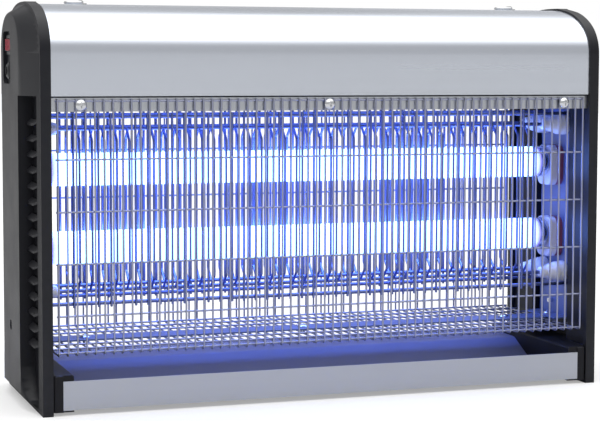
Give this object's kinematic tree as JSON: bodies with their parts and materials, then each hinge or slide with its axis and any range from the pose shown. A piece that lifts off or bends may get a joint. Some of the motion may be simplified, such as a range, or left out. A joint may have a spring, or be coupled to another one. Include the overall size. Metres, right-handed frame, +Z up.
{
  "type": "electric bug zapper",
  "caption": "Free-standing electric bug zapper: arched metal cover, moulded end caps, wire guards front and back, UV tubes, high-voltage grids and a slide-out catch tray.",
  "frame": {"origin": "middle of the footprint, on the surface the end caps stand on", "axes": "+X along the tubes to the right seen from the front, +Y to the back, +Z up"},
  "size_m": [0.48, 0.1512, 0.3117],
  "materials": {
    "cap_plastic": "fine moulded grain, satin",
    "cover_metal": "brushed along the length, lacquered",
    "lip_metal": "smooth grey paint",
    "plate_metal": "zinc-plated sheet",
    "guard_wire": "bright plated wire",
    "grid_wire": "drawn steel wire",
    "screw_chrome": "polished",
    "insulator_ceramic": "glazed white",
    "holder_plastic": "white moulding",
    "lamp_glass": "phosphor-coated tube",
    "lamp_cap": "drawn cap",
    "tray_metal": "smooth grey paint",
    "tray_plastic": "fine moulded grain",
    "switch_black": "gloss black",
    "switch_red": "translucent red rocker",
    "core_steel": "stacked sheets",
    "copper_winding": "taped winding",
    "board": "glass-fibre board"
  },
  "bodies": {
    "housing": {"left_end_cap": "cap_plastic", "right_end_cap": "cap_plastic", "top_cover": "cover_metal", "chassis_channel": "lip_metal", "left_side_plate": "plate_metal", "right_side_plate": "plate_metal", "bottom_rail": "plate_metal", "front_guard": "guard_wire", "rear_guard": "guard_wire", "front_guard_foot": "guard_wire", "rear_guard_foot": "guard_wire", "guard_screws": "screw_chrome", "rail_screws": "screw_chrome", "chassis_screws": "screw_chrome", "cap_screws": "screw_chrome", "insulator_screws": "screw_chrome", "front_return_grid": "grid_wire", "front_live_grid": "grid_wire", "rear_return_grid": "grid_wire", "rear_live_grid": "grid_wire", "left_insulators": "insulator_ceramic", "right_insulators": "insulator_ceramic", "upper_left_lampholder": "holder_plastic", "upper_right_lampholder": "holder_plastic", "lower_left_lampholder": "holder_plastic", "lower_right_lampholder": "holder_plastic", "switch_body": "switch_black", "cable_gland": "switch_black", "hanger_saddles": "screw_chrome", "transformer_core": "core_steel", "transformer_winding": "copper_winding", "upper_lamp_ballast": "core_steel", "lower_lamp_ballast": "core_steel", "starter_sockets": "holder_plastic", "starters": "holder_plastic", "terminal_block": "holder_plastic", "multiplier_board": "board", "board_capacitors": "switch_black"},
    "tray": {"tray_pan": "tray_metal", "tray_left_end": "tray_plastic", "tray_right_end": "tray_plastic"},
    "rocker": {"switch_rocker": "switch_red"},
    "upper_lamp": {"upper_lamp_tube": "lamp_glass", "upper_lamp_caps": "lamp_cap", "upper_lamp_rotors": "holder_plastic"},
    "lower_lamp": {"lower_lamp_tube": "lamp_glass", "lower_lamp_caps": "lamp_cap", "lower_lamp_rotors": "holder_plastic"},
    "left_ring": {"left_hanging_ring": "screw_chrome"},
    "right_ring": {"right_hanging_ring": "screw_chrome"}
  },
  "joints": [
    {"name": "tray_slide", "type": "slide", "parent": "housing", "child": "tray", "axis": [0, -1, 0], "range_m": [0, 0.135]},
    {"name": "rocker_tilt", "type": "hinge", "parent": "housing", "child": "rocker", "pos_m": [-0.234, 0.011, 0.277], "axis": [0, 0, 1], "range_deg": [0, 18]},
    {"name": "upper_lamp_turn", "type": "hinge", "parent": "housing", "child": "upper_lamp", "pos_m": [0, 0, 0.18], "axis": [1, 0, 0], "range_deg": [0, 90]},
    {"name": "lower_lamp_turn", "type": "hinge", "parent": "housing", "child": "lower_lamp", "pos_m": [0, 0, 0.1187], "axis": [1, 0, 0], "range_deg": [0, 90]},
    {"name": "left_ring_fold", "type": "hinge", "parent": "housing", "child": "left_ring", "pos_m": [-0.184, 0, 0.30985], "axis": [0, 1, 0], "range_deg": [0, 95]},
    {"name": "right_ring_fold", "type": "hinge", "parent": "housing", "child": "right_ring", "pos_m": [0.184, 0, 0.30985], "axis": [0, 1, 0], "range_deg": [0, 95]}
  ]
}
